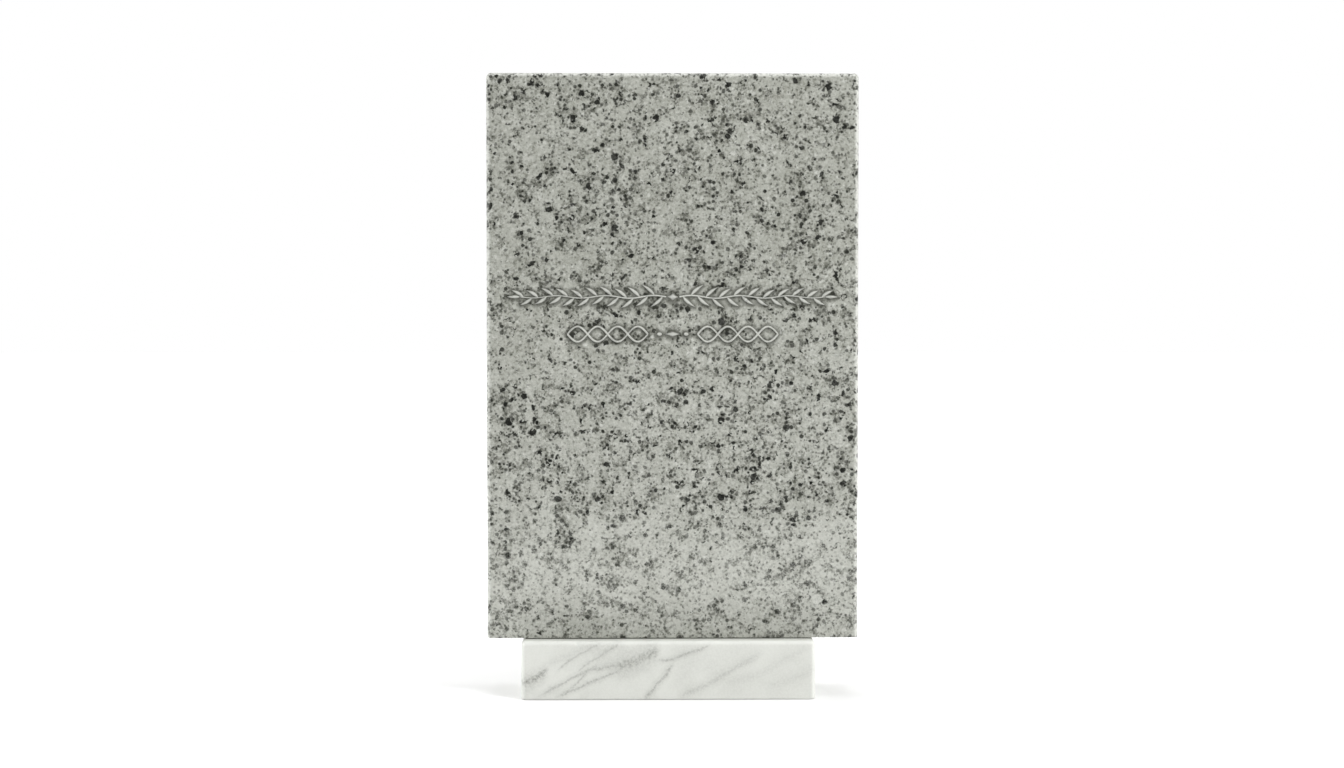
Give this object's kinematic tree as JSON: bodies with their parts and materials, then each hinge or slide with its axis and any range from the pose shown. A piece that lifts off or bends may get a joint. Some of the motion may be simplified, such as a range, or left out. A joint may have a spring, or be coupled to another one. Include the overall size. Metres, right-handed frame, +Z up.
{
  "type": "upright grave plaque on a plinth",
  "caption": "Upright rectangular granite grave slab with rounded arrises, dowelled and bedded on a narrower marble plinth.",
  "frame": {"origin": "on the ground, below the middle of the slab and half way through its thickness", "axes": "+Z up, +X to the right as seen by someone who faces the front, +Y from the front to the back, so that the face with the ornament looks along -Y"},
  "size_m": [0.5, 0.16, 0.8402],
  "materials": {
    "granite": "satin",
    "marble": "satin",
    "setting_mortar": "matte",
    "stainless_steel": "satin"
  },
  "bodies": {
    "root": {"slab": "granite", "plinth": "marble", "setting_bed": "setting_mortar", "dowel_left": "stainless_steel", "dowel_right": "stainless_steel"}
  },
  "joints": []
}
